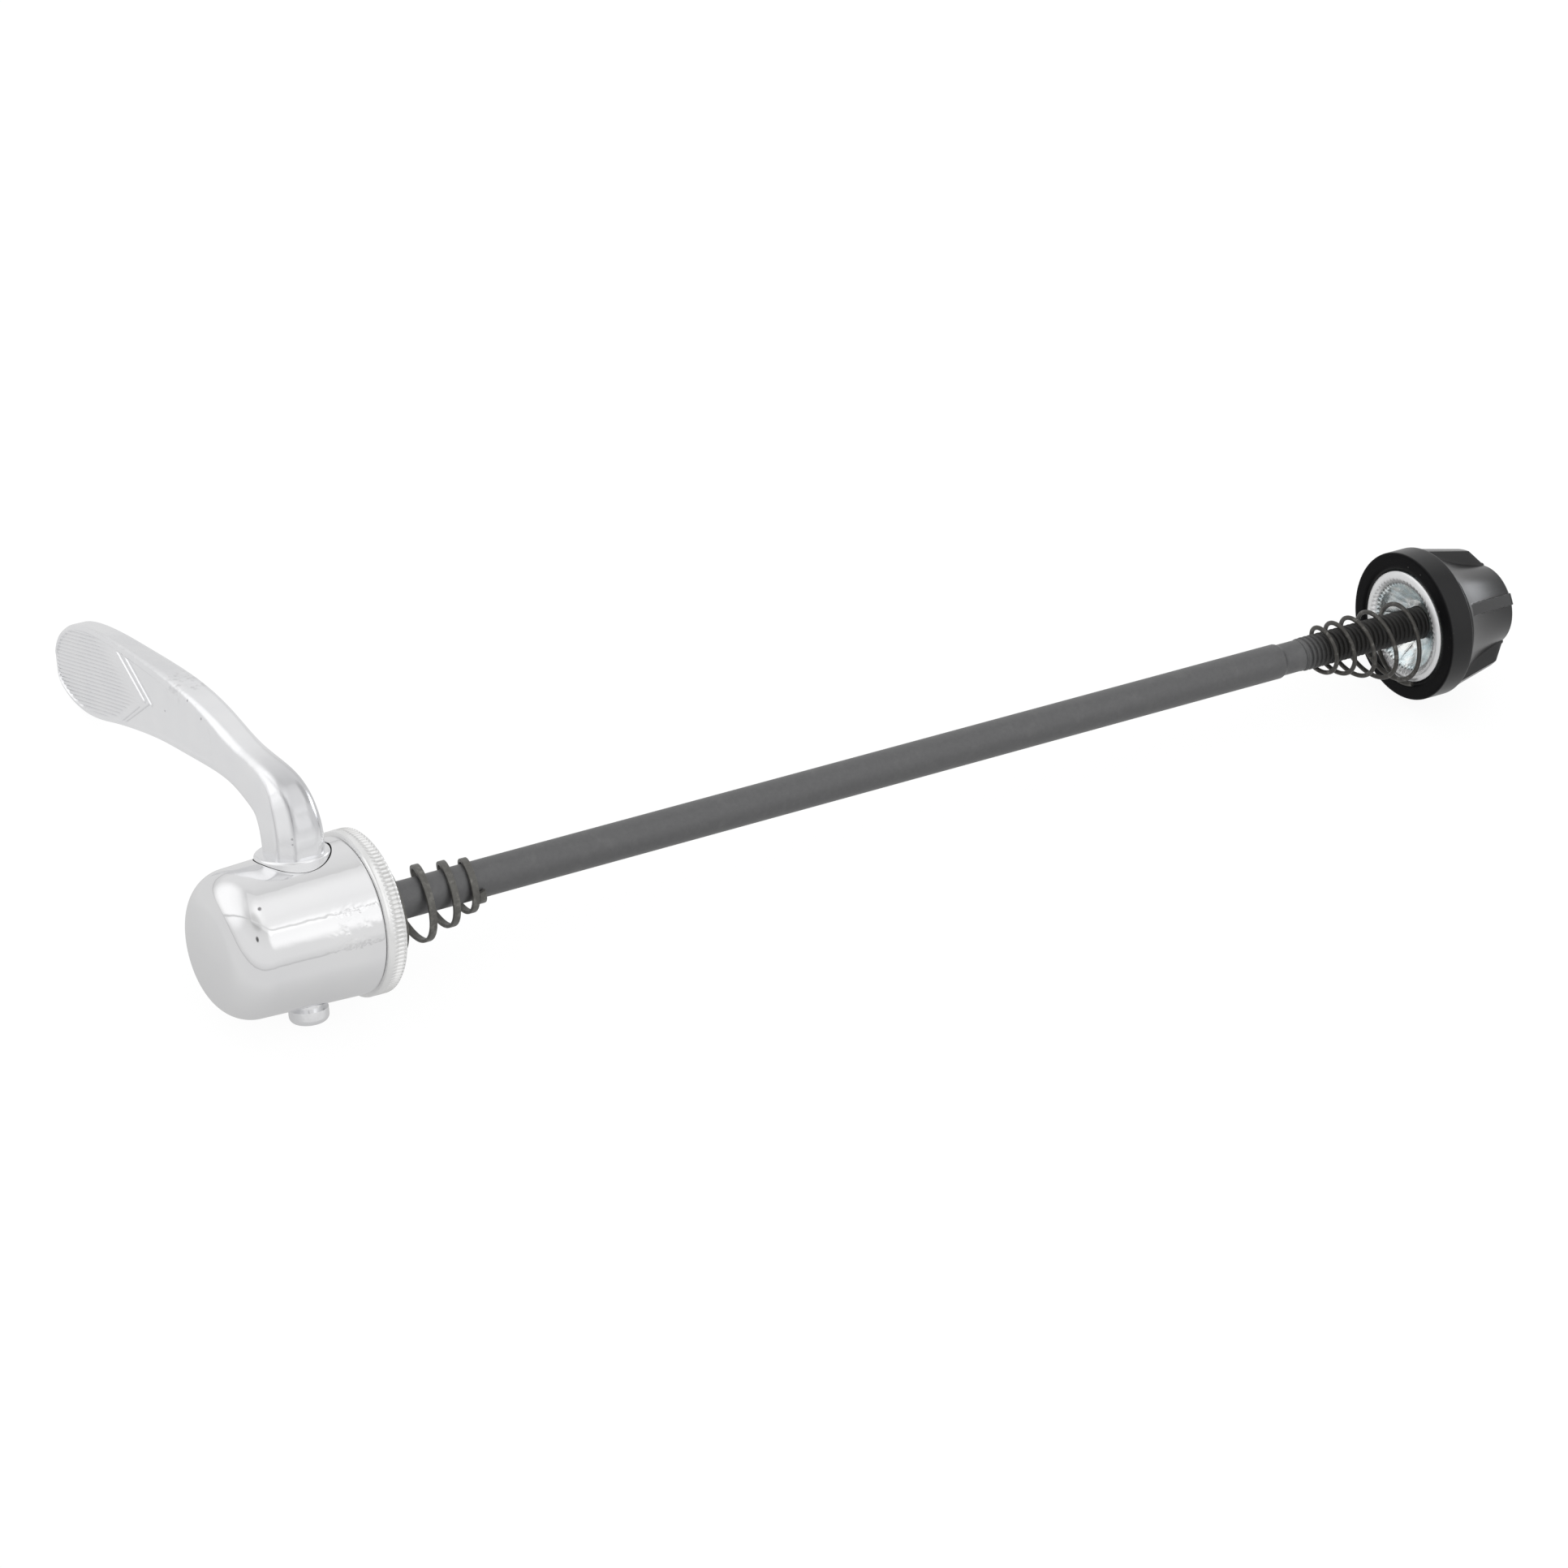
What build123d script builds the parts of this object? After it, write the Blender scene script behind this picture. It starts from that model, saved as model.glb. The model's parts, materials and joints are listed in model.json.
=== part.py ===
import math
import os

from build123d import *

os.makedirs("parts", exist_ok=True)

# Sizes in mm. The rod runs along X and the lever-side clamping face is at x = 0.
# Pieces are built with Y as the lever's reach and Z as its pivot, then turned about X to lie on the floor.

# clearances
run_gap = 0.05
move_gap = 0.35

# rod
rod_d = 5.0
thread_d = 4.8
neck_d = 4.5
neck_len = 4.4
thread_len = 26.6
rod_past_face = 7.9
rod_chamfer = 0.6

# clamping faces
face_d = 21.76
grip_len = 171.1
edge_break = 0.35

# cam housing and its serrated ring
house_d_front = 20.7
house_d_back = 19.2
house_len = 23.0
house_dome_r = 45.0
house_corner_r = 4.8
spigot_wall = 2.4
ring_w = 2.8
web_t = 1.2
land_in_d = 16.4
land_step = 0.3

# lever pivot
pivot_x = -9.6
cam_throw = 1.3
cam_d = 6.8
journal_d = 9.84
journal_bore_gap = 0.08
journal_top_z = 10.3
journal_edge = 0.4
eye_t = 4.4
eye_wall_x = 1.45
eye_wall_y = 1.0
eye_corner = 1.5
pin_step = 0.2
head_d = 5.2
head_h = 1.9
head_round = 0.9

# lever arm
lever_reach = 62.4
lever_rise = 23.4
paddle_w = 12.7
paddle_t = 3.0
# stations: share of the reach, share of the rise, direction in degrees from Y, shares of the paddle's width
# and thickness, corner as a share of the thickness
arm_shares = [
    (-0.0072, 0.4231, 90.0, 0.591, 2.267, 0.48),
    (-0.0072, 0.5641, 88.0, 0.630, 2.267, 0.45),
    (0.0192, 0.6966, 57.0, 0.669, 2.000, 0.40),
    (0.0849, 0.7778, 28.0, 0.575, 1.733, 0.39),
    (0.1699, 0.8419, 17.0, 0.512, 1.600, 0.37),
    (0.2644, 0.9060, 15.5, 0.606, 1.520, 0.30),
    (0.3606, 0.9530, 10.5, 0.701, 1.480, 0.24),
    (0.4808, 0.9872, 4.5, 0.769, 1.387, 0.20),
    (0.6090, 1.0000, 1.0, 0.854, 1.213, 0.18),
    (0.7372, 1.0000, -1.0, 0.961, 1.067, 0.18),
    (0.8253, 0.9893, -2.5, 1.000, 1.000, 0.18),
    (0.8686, 0.9850, -2.0, 0.969, 0.987, 0.18),
    (0.9038, 0.9808, -2.0, 0.898, 0.973, 0.18),
    (0.9343, 0.9744, -1.5, 0.783, 0.960, 0.18),
    (0.9599, 0.9701, -1.0, 0.638, 0.940, 0.18),
    (0.9776, 0.9637, 0.0, 0.488, 0.907, 0.18),
    (0.9904, 0.9594, 0.0, 0.323, 0.833, 0.20),
    (0.9976, 0.9615, 0.0, 0.189, 0.700, 0.20),
    (1.0000, 0.9637, 0.0, 0.094, 0.567, 0.12),
]

# springs: both are wound the same way and hang to one side of the rod
sag_deg = 13.0
spring_gap = 0.28
coil_steps = 16
strip_w = 1.0
strip_t = 0.45
strip_start = -1.4
strip_rise = -0.72
strip_end = 3.08
strip_pitch = 4.62
strip_pitch_loss = 0.222
strip_settle = 0.5
strip_big_r = 5.05
strip_big_sag = 1.44
strip_small_sag = 0.21
wire_d = 0.66
wire_start = -0.55
wire_end = 4.82
wire_free_len = 15.46
wire_pitch = 2.63
wire_pitch_gain = 0.16
wire_big_r = 6.32
wire_big_sag = 2.37
wire_small_sag = 0.2

# nut
insert_d = 16.3
insert_proud = 0.15
insert_rim_d = 12.6
insert_rim_step = 0.45
insert_depth = 2.6
insert_dish = 3.1
insert_dish_d = 6.6
insert_hub_d = 10.4
insert_len = 8.9
nut_len = 15.1
nut_flange_w = 4.1
nut_inner_break = 0.6
nut_hole_d = 5.6
wing_half_deg = 25.0
wing_shift_deg = -19.0
wing_root_r = 10.6
wing_tip_r = 8.95
wing_tip_x = 12.1
wing_end_r = 6.15
finger_shift = 0.9
finger_rise_r = 9.9
finger_mid_r = 7.7
finger_mid_x = 8.6
finger_end_r = 5.85
rib_w = 1.75
rib_root_r = 10.6
rib_end_r = 7.0

# values that follow from those above
rod_r = rod_d / 2
thread_r = thread_d / 2
rod_end_x = grip_len + rod_past_face
neck_x = rod_end_x - thread_len - neck_len
face_r = face_d / 2
ring_hole_r = rod_r + run_gap
journal_r = journal_d / 2
cam_r = cam_d / 2
pin_r = cam_r - cam_throw - pin_step
eye_half_t = eye_t / 2
cam_half_t = eye_half_t + move_gap
# the rod is moved in proportion to the lever's turn, which strays from the cam's own path by 0.211 of its throw
slot_half_x = cam_r + 0.211 * cam_throw + move_gap
slot_half_y = cam_r + cam_throw + move_gap
eye_x = pivot_x - cam_throw
eye_half_x = slot_half_x + eye_wall_x
eye_half_y = slot_half_y + eye_wall_y
cavity_r = math.hypot(eye_half_y, eye_half_t) + move_gap
cavity_end_x = eye_x - eye_half_x - move_gap
spigot_r = cavity_r + spigot_wall
head_z = -(house_d_front / 2 + move_gap)
head_end_z = head_z - head_h
rim_x = grip_len - insert_proud
strip_small_r = rod_r + spring_gap + strip_t + strip_small_sag
wire_small_r = rod_r + spring_gap + wire_d + wire_small_sag
arm = [
    (y * lever_reach, z * lever_rise, deg, w * paddle_w / 2, t * paddle_t / 2, c * t * paddle_t)
    for y, z, deg, w, t, c in arm_shares
]


def side(points):
    return make_face(Plane.XZ * Polyline(*points, close=True))


def turned(points):
    return revolve(side(points), Axis.X)


def rod_along(x0, x1, radius):
    return Pos((x0 + x1) / 2, 0, 0) * Rot(0, 90, 0) * Cylinder(radius, x1 - x0)


def pin_up(x, z0, z1, radius):
    return Pos(x, 0, (z0 + z1) / 2) * Cylinder(radius, z1 - z0)


# on the floor the part rests on the arm's lower edge and on the clamping rim or the pin's head,
# both of which are round about a centre y, z as seen along X
def arm_low(station):
    y, z, deg, half_w = station[:4]
    a = math.radians(deg)
    return y + half_w * math.sin(a), z - half_w * math.cos(a)


def lie_on(y0, z0, radius):
    steps = [(y - y0, z - z0) for y, z in (arm_low(s) for s in arm[6:-1])]
    return min(math.atan2(z, y) + math.asin(radius / math.hypot(y, z)) for y, z in steps)


lie_deg = math.degrees(
    max(lie_on(0, 0, face_r), lie_on(head_d / 2 - head_round, head_end_z + head_round, head_round))
)


# rod: eye with a slot across for the cam, plain shank, neck and plain thread cylinder
eye = Pos(eye_x, 0, 0) * extrude(
    RectangleRounded(2 * eye_half_x, 2 * eye_half_y, eye_corner), eye_half_t, both=True
)
slot = Pos(eye_x, 0, 0) * extrude(
    RectangleRounded(2 * slot_half_x, 2 * slot_half_y, 0.98 * slot_half_x), eye_t, both=True
)
shank_x = eye_x + slot_half_x + eye_wall_x / 2
skewer_rod = eye - slot
skewer_rod += rod_along(shank_x, neck_x, rod_r)
skewer_rod += turned([
    (neck_x - rod_chamfer, 0),
    (neck_x - rod_chamfer, neck_d / 2),
    (neck_x + neck_len, neck_d / 2),
    (neck_x + neck_len, thread_r),
    (rod_end_x - rod_chamfer, thread_r),
    (rod_end_x, thread_r - rod_chamfer),
    (rod_end_x, 0),
])

# cam housing: round-ended cap with an axial cavity, the journal bore above and the pin bore below
end_r = house_d_back / 2
end_x = -house_len + house_dome_r - math.sqrt(house_dome_r**2 - end_r**2)
outline = Polyline(
    (-house_len, 0),
    (-web_t, 0),
    (-web_t, spigot_r),
    (-ring_w, spigot_r),
    (-ring_w, house_d_front / 2),
    (end_x, end_r),
)
half_r = end_r / 2
half_x = -house_len + house_dome_r - math.sqrt(house_dome_r**2 - half_r**2)
dome = ThreePointArc((end_x, end_r), (half_x, half_r), (-house_len, 0))
cap = make_face(Plane.XZ * (outline + dome))
corner = cap.vertices().sort_by(lambda v: abs(v.X - end_x) + abs(v.Z - end_r))[0]
cap = fillet(corner, house_corner_r)
cam_housing = revolve(cap, Axis.X)
cam_housing -= rod_along(cavity_end_x, 0, cavity_r)
cam_housing -= pin_up(pivot_x, 0, 2 * face_r, journal_r + journal_bore_gap)
cam_housing -= pin_up(pivot_x, -2 * face_r, 0, pin_r + run_gap)

# serrated ring: pressed over the housing's spigot, its web guides the rod and seats the spring
serrated_ring = turned([
    (-ring_w, spigot_r),
    (-ring_w, face_r - edge_break / 2),
    (-ring_w + edge_break / 2, face_r),
    (-edge_break, face_r),
    (0, face_r - edge_break),
    (0, land_in_d / 2),
    (-land_step, land_in_d / 2),
    (-land_step, ring_hole_r),
    (-web_t, ring_hole_r),
    (-web_t, spigot_r),
])

# lever: arm lofted through its stations, journal, cam, end pin and its spread head
sections = [
    Plane(
        origin=(pivot_x, y, z),
        x_dir=(1, 0, 0),
        z_dir=(0, math.cos(math.radians(deg)), math.sin(math.radians(deg))),
    )
    * RectangleRounded(2 * half_t, 2 * half_w, corner)
    for y, z, deg, half_w, half_t, corner in arm
]
journal = pin_up(pivot_x, cam_half_t, journal_top_z, journal_r)
journal = fillet(journal.edges().group_by(Axis.Z)[-1], journal_edge)
head = pin_up(pivot_x, head_end_z, head_z, head_d / 2)
head = fillet(head.edges().group_by(Axis.Z)[0], head_round)
lever = loft(sections) + journal + head
lever += pin_up(eye_x, -cam_half_t, cam_half_t, cam_r)
lever += pin_up(pivot_x, head_z, -cam_half_t, pin_r)


# springs: x, outer radius and sideways sag against the number of turns
def coil(path, start, end, wire):
    count = round((end - start) * coil_steps)
    down = math.radians(sag_deg)
    points = []
    for i in range(count + 1):
        s = start + (end - start) * i / count
        x, out_r, sag = path(s)
        a = math.radians(70 - 360 * s)
        r = out_r - wire / 2
        points.append((
            x,
            -r * math.sin(a) - sag * math.sin(down),
            r * math.cos(a) - sag * math.cos(down),
        ))
    return Spline(*points)


def strip_path(s):
    rise = max(s - strip_rise, 0)
    x = strip_w / 2 - land_step + strip_pitch * rise - strip_pitch_loss * rise**2
    x -= strip_settle * (1 - math.exp(-3 * rise))
    u = max(s / strip_end, 0)
    out_r = strip_big_r + (strip_small_r - strip_big_r) * u**1.8
    return x, out_r, strip_big_sag + (strip_small_sag - strip_big_sag) * u


def wire_path(s):
    seat_x = rim_x - wire_d / 2
    x = min(seat_x - wire_free_len + wire_pitch * s + wire_pitch_gain * s**2, seat_x)
    u = max(s / wire_end, 0)
    out_r = wire_small_r + (wire_big_r - wire_small_r) * u
    return x, out_r, wire_small_sag + (wire_big_sag - wire_small_sag) * u


strip_line = coil(strip_path, strip_start, strip_end, strip_t)
strip_face = Plane(origin=strip_line @ 0, x_dir=(1, 0, 0), z_dir=strip_line % 0) * Rectangle(strip_w, strip_t)
lever_spring = sweep(strip_face, path=strip_line, is_frenet=True)
wire_line = coil(wire_path, wire_start, wire_end, wire_d)
wire_face = Plane(origin=wire_line @ 0, z_dir=wire_line % 0) * Circle(wire_d / 2)
nut_spring = sweep(wire_face, path=wire_line, is_frenet=True)

# nut insert: dished cup with a plain rim, and a hub with the thread's plain bore
cup_x = rim_x + insert_depth
hub_x = rim_x + insert_len
dish_x = rim_x + insert_dish
bore_r = thread_r + run_gap
nut_insert = turned([
    (rim_x, insert_rim_d / 2),
    (rim_x, insert_d / 2),
    (cup_x, insert_d / 2),
    (cup_x, insert_hub_d / 2),
    (hub_x, insert_hub_d / 2),
    (hub_x, bore_r),
    (dish_x, bore_r),
    (dish_x, insert_dish_d / 2),
    (rim_x + insert_rim_step, insert_rim_d / 2),
])

# nut body: flange, two finger hollows with a rib in each, and the two wings between them
flange_x = grip_len + nut_flange_w
nut_end_x = grip_len + nut_len
nut_body = turned([
    (grip_len, 0),
    (grip_len, face_r - edge_break),
    (grip_len + edge_break, face_r),
    (flange_x - edge_break / 2, face_r),
    (flange_x, face_r - edge_break / 2),
    (flange_x, 0),
])
finger_base = Polyline(
    (nut_end_x, finger_end_r),
    (nut_end_x, 0),
    (grip_len + edge_break, 0),
    (grip_len + edge_break, finger_rise_r),
    (flange_x, finger_rise_r),
)
finger_arc = ThreePointArc(
    (flange_x, finger_rise_r), (grip_len + finger_mid_x, finger_mid_r), (nut_end_x, finger_end_r)
)
finger = Pos(0, 0, finger_shift) * revolve(make_face(Plane.XZ * (finger_base + finger_arc)), Axis.X)
wing = revolve(
    side([
        (flange_x - edge_break, 0.5 * finger_end_r),
        (flange_x - edge_break, wing_root_r),
        (flange_x, wing_root_r),
        (grip_len + wing_tip_x, wing_tip_r),
        (nut_end_x, wing_end_r),
        (nut_end_x, 0.5 * finger_end_r),
    ]),
    Axis.X,
    2 * wing_half_deg,
)
wing = Rot(-wing_half_deg, 0, 0) * wing
rib = extrude(
    side([
        (flange_x - edge_break, 0.5 * finger_end_r),
        (flange_x - edge_break, rib_root_r),
        (flange_x, rib_root_r),
        (nut_end_x, rib_end_r),
        (nut_end_x, 0.5 * finger_end_r),
    ]),
    rib_w / 2,
    both=True,
)
for half_turn in (0, 180):
    nut_body += Rot(wing_shift_deg + 90 + half_turn, 0, 0) * (finger + rib)
    nut_body += Rot(wing_shift_deg + half_turn, 0, 0) * wing
nut_body -= turned([
    (grip_len - insert_proud, 0),
    (grip_len - insert_proud, insert_d / 2 + nut_inner_break + insert_proud),
    (grip_len + nut_inner_break, insert_d / 2),
    (cup_x, insert_d / 2),
    (cup_x, insert_hub_d / 2),
    (hub_x, insert_hub_d / 2),
    (hub_x, nut_hole_d / 2),
    (nut_end_x + move_gap, nut_hole_d / 2),
    (nut_end_x + move_gap, 0),
])

pieces = {
    "cam_housing": cam_housing,
    "serrated_ring": serrated_ring,
    "lever": lever,
    "skewer_rod": skewer_rod,
    "lever_spring": lever_spring,
    "nut_spring": nut_spring,
    "nut_insert": nut_insert,
    "nut_body": nut_body,
}
for name, piece in pieces.items():
    export_step(Rot(-lie_deg, 0, 0) * piece, f"parts/{name}.step")
print("lie", round(lie_deg, 4))
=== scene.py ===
import json
import math

import bpy
import numpy as np
from mathutils import Matrix, Vector


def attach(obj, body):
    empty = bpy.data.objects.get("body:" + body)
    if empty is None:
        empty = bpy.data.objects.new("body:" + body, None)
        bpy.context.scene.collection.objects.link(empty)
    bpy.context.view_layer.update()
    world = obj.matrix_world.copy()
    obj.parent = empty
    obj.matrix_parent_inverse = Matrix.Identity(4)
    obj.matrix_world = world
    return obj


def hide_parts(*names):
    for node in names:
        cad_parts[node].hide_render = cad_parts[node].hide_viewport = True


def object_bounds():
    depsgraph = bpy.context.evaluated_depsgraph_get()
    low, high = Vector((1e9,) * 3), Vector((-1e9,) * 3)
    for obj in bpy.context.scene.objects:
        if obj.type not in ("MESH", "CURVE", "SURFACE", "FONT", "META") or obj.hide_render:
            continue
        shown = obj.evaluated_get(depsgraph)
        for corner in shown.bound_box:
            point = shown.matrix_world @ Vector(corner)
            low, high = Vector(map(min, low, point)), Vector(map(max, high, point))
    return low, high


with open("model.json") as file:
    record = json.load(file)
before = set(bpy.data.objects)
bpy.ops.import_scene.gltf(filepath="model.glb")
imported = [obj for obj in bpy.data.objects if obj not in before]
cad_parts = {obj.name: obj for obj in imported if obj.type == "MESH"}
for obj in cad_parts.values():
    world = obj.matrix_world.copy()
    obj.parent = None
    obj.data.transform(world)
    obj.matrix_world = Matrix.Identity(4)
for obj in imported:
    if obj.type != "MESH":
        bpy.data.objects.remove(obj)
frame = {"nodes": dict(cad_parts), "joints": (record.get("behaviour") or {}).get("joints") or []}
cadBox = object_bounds()
pivotAxis = next(j for j in frame["joints"] if j["name"] == "lever_pivot")["axis"]
lie = math.atan2(pivotAxis[1], pivotAxis[2])  # how far the pivot leans over as the part lies on the floor
perMetre = 1000.0  # mm
sharpDeg = 35  # where faces meet at more than this, the edge stays sharp
tiny = 1e-6
poleR = 0.01  # a turned profile ends this near to its axis
print("frame loaded:", sorted(frame["nodes"]))


# Pieces are worked out in mm: x along the rod, y the lever's reach, z its pivot.
# toRow turns them about x by the lean and gives metres in the frame's axes.
def toRow(points):
    x, y, z = np.moveaxis(np.asarray(points, float), -1, 0)
    c, s = math.cos(lie), math.sin(lie)
    return np.stack([x, y * c + z * s, z * c - y * s], -1) / perMetre


def rowPoint(x, y, z):  # a place on a piece, in the mm that the materials read
    return tuple(float(v) * perMetre for v in toRow((x, y, z)))


def step(low, high, value):  # smoothstep from 0 at low to 1 at high
    t = np.clip((value - low) / (high - low), 0, 1)
    return t * t * (3 - 2 * t)


def around(steps):  # even angles round one full turn
    return np.linspace(0, 2 * np.pi, steps, endpoint=False)


def sawtooth(count, a):  # -1 to 1 over each of count equal parts of the turn
    return 2 * ((count * a / (2 * np.pi)) % 1) - 1


def spun(x, r, a):  # points at x and radius r about the rod's axis, the angle counted from z towards -y
    return np.stack([x, -r * np.sin(a), r * np.cos(a)], -1)


def smoothCurve(knots, values, at):
    # natural cubic spline: second slopes from one linear system, then the cubic of each span
    knots, values = np.asarray(knots, float), np.asarray(values, float)
    h = np.diff(knots)
    system = np.eye(len(knots))
    right = np.zeros_like(values)
    inner = np.arange(1, len(knots) - 1)
    system[inner, inner - 1] = h[:-1]
    system[inner, inner] = 2 * (h[:-1] + h[1:])
    system[inner, inner + 1] = h[1:]
    slopes = np.diff(values, axis=0) / h[:, None]
    right[1:-1] = 6 * np.diff(slopes, axis=0)
    bend = np.linalg.solve(system, right)
    i = np.clip(np.searchsorted(knots, at, side="right") - 1, 0, len(h) - 1)
    a, b, w = (knots[i + 1] - at)[:, None], (at - knots[i])[:, None], h[i][:, None]
    cubic = (bend[i] * a**3 + bend[i + 1] * b**3) / (6 * w)
    return cubic + (values[i] / w - bend[i] * w / 6) * a + (values[i + 1] / w - bend[i + 1] * w / 6) * b


def shell(points, loopRows=False):
    # a grid whose rows are closed rings, each joined to the next by quads; unless the rows close up too,
    # the end rings are closed by a fan round their middle; turned outwards by the sign of the volume
    rows, cols = points.shape[:2]
    i = np.arange(rows if loopRows else rows - 1)[:, None]
    j = np.arange(cols)[None]
    up, on = (i + 1) % rows, (j + 1) % cols
    quads = np.stack([i * cols + j, i * cols + on, up * cols + on, up * cols + j], -1).reshape(-1, 4)
    verts = points.reshape(-1, 3)
    fans = np.zeros((0, 3), int)
    if not loopRows:
        loop = np.arange(cols)
        nextLoop = (loop + 1) % cols
        first, last = len(verts), len(verts) + 1
        lastRow = (rows - 1) * cols
        fans = np.concatenate([
            np.stack([np.full(cols, first), nextLoop, loop], -1),
            np.stack([np.full(cols, last), lastRow + loop, lastRow + nextLoop], -1),
        ])
        verts = np.concatenate([verts, points[:1].mean(1), points[-1:].mean(1)])
    tris = np.concatenate([quads[:, :3], quads[:, [0, 2, 3]], fans])
    a, b, c = (verts[tris[:, k]] for k in range(3))
    if np.einsum("ij,ij->", a, np.cross(b, c)) < 0:
        quads, fans = quads[:, ::-1], fans[:, ::-1]
    return verts, quads, fans


def makePiece(name, shells, body, node, finish, sharp=sharpDeg, marks=None):
    # shells joined in one mesh; the last argument, if given, is a painted shade at each point of the first
    # shell, for its material
    verts, faces, start = [], [], 0
    for v, q, f in shells:
        verts.append(v)
        faces += (q + start).tolist() + (f + start).tolist()
        start += len(v)
    mesh = bpy.data.meshes.new(name)
    mesh.from_pydata(toRow(np.concatenate(verts)), [], faces)
    mesh.polygons.foreach_set("use_smooth", np.ones(len(faces), bool))
    mesh.update()
    mesh.set_sharp_from_angle(angle=math.radians(sharp))
    mesh.materials.append(finish)
    if marks is not None:
        kept = np.zeros(start, np.float32)
        kept[:marks.size] = marks.ravel()
        mesh.attributes.new("marks", "FLOAT", "POINT").data.foreach_set("value", kept)
    piece = bpy.data.objects.new(name, mesh)
    bpy.context.scene.collection.objects.link(piece)
    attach(piece, body)
    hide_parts(node)
    print(name, len(mesh.vertices), "points,", sum(len(p.vertices) - 2 for p in mesh.polygons), "triangles")
    return piece


def turned(profile, steps):  # profile of x, r points turned about the rod's axis
    profile = np.asarray(profile, float)
    x = np.repeat(profile[:, :1], steps, 1)
    return spun(x, profile[:, 1:], around(steps))


def upright(profile, x, steps):  # profile of z, r points turned about an axis along z through x
    profile = np.asarray(profile, float)
    a = around(steps)
    z = np.repeat(profile[:, :1], steps, 1)
    return np.stack([x + profile[:, 1:] * np.cos(a), profile[:, 1:] * np.sin(a), z], -1)


def arc(cx, cr, radius, start, end, count):  # points on a circle from start to end degrees
    a = np.radians(np.linspace(start, end, count))
    return np.stack([cx + radius * np.cos(a), cr + radius * np.sin(a)], -1)


def line(p, q, count):  # even points from p to q, the last one left out
    t = np.linspace(0, 1, count, endpoint=False)[:, None]
    return np.asarray(p, float) * (1 - t) + np.asarray(q, float) * t


def alongPath(path, across, up, section):
    # section of a, b points carried along the path: path + a * across + b * up
    a, b = np.moveaxis(np.asarray(section, float), -1, 0)
    return path[:, None] + a[None, :, None] * across[:, None] + b[None, :, None] * up[:, None]


# Shader sums: a Flow is a socket, and + - * on it add Math nodes.
class Flow:
    def __init__(self, tree, socket):
        self.tree, self.socket = tree, socket

    def sum(self, operation, a, b):
        return addNode(self.tree, "ShaderNodeMath", {"operation": operation}, {0: a, 1: b})

    def __add__(self, other):
        return self.sum("ADD", self, other)

    def __radd__(self, other):
        return self.sum("ADD", other, self)

    def __sub__(self, other):
        return self.sum("SUBTRACT", self, other)

    def __rsub__(self, other):
        return self.sum("SUBTRACT", other, self)

    def __mul__(self, other):
        return self.sum("MULTIPLY", self, other)

    def __rmul__(self, other):
        return self.sum("MULTIPLY", other, self)


def addNode(tree, kind, settings=None, values=None, out=0):
    # any node: its settings first, then the values or links of its sockets
    node = tree.nodes.new(kind)
    for key, value in (settings or {}).items():
        if key == "stops":
            while len(node.color_ramp.elements) < len(value):
                node.color_ramp.elements.new(0.5)
            for element, (place, colour) in zip(node.color_ramp.elements, value):
                element.position, element.color = place, (*colour, 1)
        else:
            setattr(node, key, value)
    for key, value in (values or {}).items():
        if isinstance(value, Flow):
            tree.links.new(value.socket, node.inputs[key])
        else:
            socket = node.inputs[key]
            plainColour = socket.type == "RGBA" and len(value) == 3
            socket.default_value = (*value, 1) if plainColour else value
    return None if out is None else Flow(tree, node.outputs[out])


def smoothRange(tree, value, low, high, start=0.0, end=1.0):  # smoothstep from start at low to end at high
    values = {0: value, 1: low, 2: high, 3: start, 4: end}
    return addNode(tree, "ShaderNodeMapRange", {"interpolation_type": "SMOOTHSTEP"}, values)


class Finish:
    # a Principled material on Object coordinates in mm, with the few patterns that the pieces share
    def __init__(self, name, **fixed):
        self.material = bpy.data.materials.new(name)
        self.material.use_nodes = True
        self.tree = self.material.node_tree
        self.shader = self.tree.nodes["Principled BSDF"]
        for key, value in fixed.items():
            self.shader.inputs[key.replace("_", " ")].default_value = value
        place = addNode(self.tree, "ShaderNodeTexCoord", out="Object")
        self.place = self.node("ShaderNodeVectorMath", {"operation": "SCALE"}, {0: place, "Scale": perMetre})

    def node(self, kind, settings=None, values=None, out=0):
        return addNode(self.tree, kind, settings, values, out)

    def noise(self, scale, detail=3.0, rough=0.5):
        values = {"Vector": self.place, "Scale": scale, "Detail": detail, "Roughness": rough}
        return self.node("ShaderNodeTexNoise", {}, values)

    def ramp(self, value, low, high, start=0.0, end=1.0):
        return smoothRange(self.tree, value, low, high, start, end)

    def mix(self, share, a, b):  # colour a at share 0, b at share 1
        return self.node("ShaderNodeMix", {"data_type": "RGBA"}, {0: share, 6: a, 7: b}, out=2)

    def near(self, point, inner, outer):  # 1 within inner mm of a point, 0 past outer
        values = {0: self.place, 1: rowPoint(*point)}
        gap = self.node("ShaderNodeVectorMath", {"operation": "DISTANCE"}, values, out="Value")
        return self.ramp(gap, inner, outer, 1.0, 0.0)

    def alongRod(self):  # x in mm
        return self.node("ShaderNodeSeparateXYZ", {}, {0: self.place})

    def marks(self):  # the painted shade kept with the mesh
        return self.node("ShaderNodeAttribute", {"attribute_name": "marks"}, {}, out="Fac")

    def set(self, socket, value):
        self.tree.links.new(value.socket, self.shader.inputs[socket])

    def bump(self, height, depth):  # depth in mm for a height of 1
        values = {"Strength": 1.0, "Distance": depth / perMetre, "Height": height}
        self.set("Normal", self.node("ShaderNodeBump", {}, values))


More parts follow.
